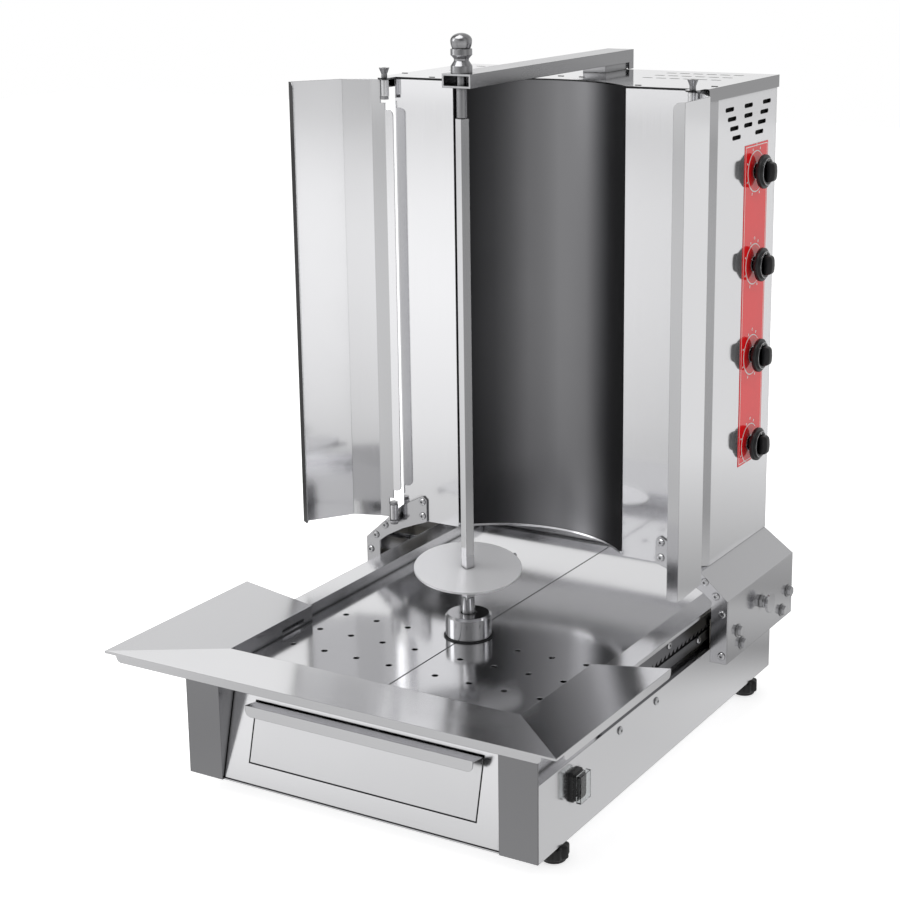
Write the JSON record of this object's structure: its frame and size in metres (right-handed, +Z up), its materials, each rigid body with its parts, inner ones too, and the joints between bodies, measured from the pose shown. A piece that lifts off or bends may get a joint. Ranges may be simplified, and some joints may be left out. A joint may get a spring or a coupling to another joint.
{
  "type": "vertical kebab grill",
  "caption": "Vertical kebab grill in stainless steel: turning skewer with meat disc, curved black heating glass with side wings, control knobs, sliding column, fat drawer.",
  "frame": {"origin": "centre of the underside of the base box, on its access plate; the feet reach 22 mm below it", "axes": "+Z up, the front with the drawer faces -Y, +X to the right seen from the front"},
  "size_m": [0.6408, 0.772, 0.9278],
  "materials": {
    "brushed_stainless": "brushed",
    "polished_stainless": "polished",
    "bright_fasteners": "polished",
    "rack_steel": "satin",
    "black_glass": "gloss",
    "red_label": "gloss",
    "black_plastic": "satin",
    "clear_cover": "clear",
    "black_rubber": "matte",
    "motor_paint": "satin",
    "element_ceramic": "matte",
    "slider_nylon": "matte"
  },
  "bodies": {
    "base": {"base_pan": "brushed_stainless", "access_plate": "brushed_stainless", "base_side_left": "brushed_stainless", "base_side_right": "brushed_stainless", "front_posts": "polished_stainless", "plinth": "brushed_stainless", "plate_bars": "brushed_stainless", "racks": "rack_steel", "base_screws": "bright_fasteners", "feet": "black_plastic", "foot_studs": "bright_fasteners", "apron": "brushed_stainless", "drip_plate_left": "polished_stainless", "drip_plate_right": "polished_stainless", "motor_bracket": "brushed_stainless", "gear_motor": "motor_paint", "hub_housing": "polished_stainless", "hub_seal": "black_rubber", "cable_gland": "black_plastic", "drawer_runners": "brushed_stainless", "switch_bezel": "black_plastic", "switch_cover": "clear_cover"},
    "spindle": {"drive_coupling": "polished_stainless", "skewer": "polished_stainless", "meat_disc": "polished_stainless", "disc_collar": "polished_stainless", "disc_screw": "bright_fasteners"},
    "drawer": {"drawer_box": "brushed_stainless", "drawer_front": "brushed_stainless", "drawer_handle": "brushed_stainless"},
    "switch_rocker": {"rocker": "black_plastic"},
    "column": {"column_left": "brushed_stainless", "column_right": "brushed_stainless", "column_back": "brushed_stainless", "column_floor": "brushed_stainless", "glass_panel": "black_glass", "heating_elements": "element_ceramic", "heat_reflector": "brushed_stainless", "top_cover": "brushed_stainless", "control_label": "red_label", "knob_bezels": "bright_fasteners", "regulators": "element_ceramic", "hinge_pins": "bright_fasteners", "carriage_plates": "polished_stainless", "carriage_cover_left": "brushed_stainless", "carriage_cover_right": "brushed_stainless", "carriage_sliders": "slider_nylon", "cover_bolts": "bright_fasteners", "plate_screws": "bright_fasteners", "arm_saddle": "brushed_stainless"},
    "clamp_left": {"lock_knob_left": "bright_fasteners"},
    "clamp_right": {"lock_knob_right": "bright_fasteners"},
    "arm": {"top_arm": "brushed_stainless"},
    "pin": {"pull_pin": "bright_fasteners"},
    "heat_knob_1": {"knob_1": "black_plastic"},
    "heat_knob_2": {"knob_2": "black_plastic"},
    "heat_knob_3": {"knob_3": "black_plastic"},
    "heat_knob_4": {"knob_4": "black_plastic"},
    "left_wing": {"wing_left": "brushed_stainless"},
    "right_wing": {"wing_right": "brushed_stainless"}
  },
  "joints": [
    {"name": "skewer_spin", "type": "hinge", "parent": "base", "child": "spindle", "pos_m": [0, -0.071, 0.17], "axis": [0, 0, 1], "continuous": true},
    {"name": "drawer_slide", "type": "slide", "parent": "base", "child": "drawer", "axis": [0, -1, 0], "range_m": [0, 0.3]},
    {"name": "rocker_tip", "type": "hinge", "parent": "base", "child": "switch_rocker", "pos_m": [0.254, -0.252, 0.0635], "axis": [0, 0, 1], "range_deg": [-16, 0]},
    {"name": "column_slide", "type": "slide", "parent": "base", "child": "column", "axis": [0, -1, 0], "range_m": [0, 0.1]},
    {"name": "clamp_left_turn", "type": "hinge", "parent": "column", "child": "clamp_left", "pos_m": [-0.281, 0.227, 0.139], "axis": [-1, 0, 0], "range_deg": [0, 360]},
    {"name": "clamp_right_turn", "type": "hinge", "parent": "column", "child": "clamp_right", "pos_m": [0.281, 0.227, 0.139], "axis": [1, 0, 0], "range_deg": [0, 360]},
    {"name": "arm_slide", "type": "slide", "parent": "column", "child": "arm", "axis": [0, 1, 0], "range_m": [0, 0.1]},
    {"name": "pin_lift", "type": "slide", "parent": "arm", "child": "pin", "axis": [0, 0, 1], "range_m": [0, 0.03]},
    {"name": "left_wing_swing", "type": "hinge", "parent": "column", "child": "left_wing", "pos_m": [-0.225, 0.1016, 0.52], "axis": [0, 0, 1], "range_deg": [-30, 60]},
    {"name": "right_wing_swing", "type": "hinge", "parent": "column", "child": "right_wing", "pos_m": [0.225, 0.1016, 0.52], "axis": [0, 0, -1], "range_deg": [-62, 27]},
    {"name": "heat_knob_1_turn", "type": "hinge", "parent": "column", "child": "heat_knob_1", "pos_m": [0.242, 0.276, 0.343], "axis": [-1, 0, 0], "range_deg": [0, 270]},
    {"name": "heat_knob_2_turn", "type": "hinge", "parent": "column", "child": "heat_knob_2", "pos_m": [0.242, 0.276, 0.466], "axis": [-1, 0, 0], "range_deg": [0, 270]},
    {"name": "heat_knob_3_turn", "type": "hinge", "parent": "column", "child": "heat_knob_3", "pos_m": [0.242, 0.276, 0.589], "axis": [-1, 0, 0], "range_deg": [0, 270]},
    {"name": "heat_knob_4_turn", "type": "hinge", "parent": "column", "child": "heat_knob_4", "pos_m": [0.242, 0.276, 0.712], "axis": [-1, 0, 0], "range_deg": [0, 270]}
  ],
  "couplings": [
    {"joint": "arm_slide", "follows": "column_slide", "ratio": 1}
  ]
}
